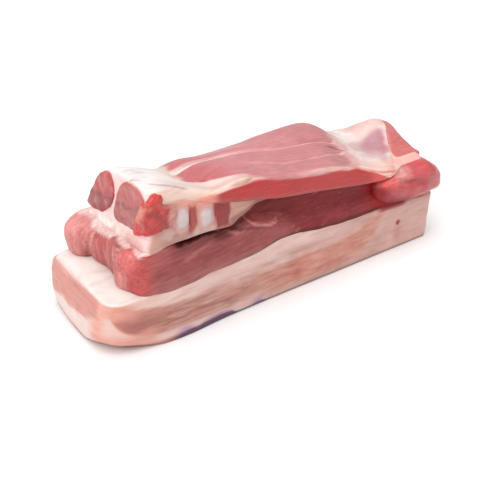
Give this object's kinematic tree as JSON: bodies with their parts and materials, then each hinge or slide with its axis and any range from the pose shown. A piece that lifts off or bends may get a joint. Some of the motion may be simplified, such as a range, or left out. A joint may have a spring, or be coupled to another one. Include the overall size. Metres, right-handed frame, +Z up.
{
  "type": "rib-on pork belly slab",
  "caption": "Raw slab of pork belly with the spare ribs left on, lying rind side down in stepped layers of fat and lean with cut rib ends at the front.",
  "frame": {"origin": "on the board, under the middle of the slab's bounding box", "axes": "+X along the slab, +Y towards the back, +Z up; the cut rib ends face -Y"},
  "size_m": [0.2988, 0.0974, 0.1063],
  "materials": {
    "fat": "moist satin fat",
    "cream_fat": "moist satin fat",
    "pale_lean": "moist satin lean",
    "dark_lean": "moist lean",
    "red_lean": "moist glossy lean",
    "mauve_lean": "lean under a thin membrane",
    "bone": "moist cut bone and cartilage"
  },
  "bodies": {
    "root": {"belly_fat": "fat", "streak_lean": "pale_lean", "middle_lean": "dark_lean", "end_lean": "red_lean", "rib_fat": "cream_fat", "rib_lean_back": "mauve_lean", "rib_lean_middle": "mauve_lean", "rib_lean_front": "red_lean", "corner_lean": "red_lean", "tip_lean": "red_lean", "rib_bone_1": "bone", "rib_bone_2": "bone", "rib_gap_lean_1": "dark_lean", "rib_gap_lean_2": "dark_lean"}
  },
  "joints": []
}
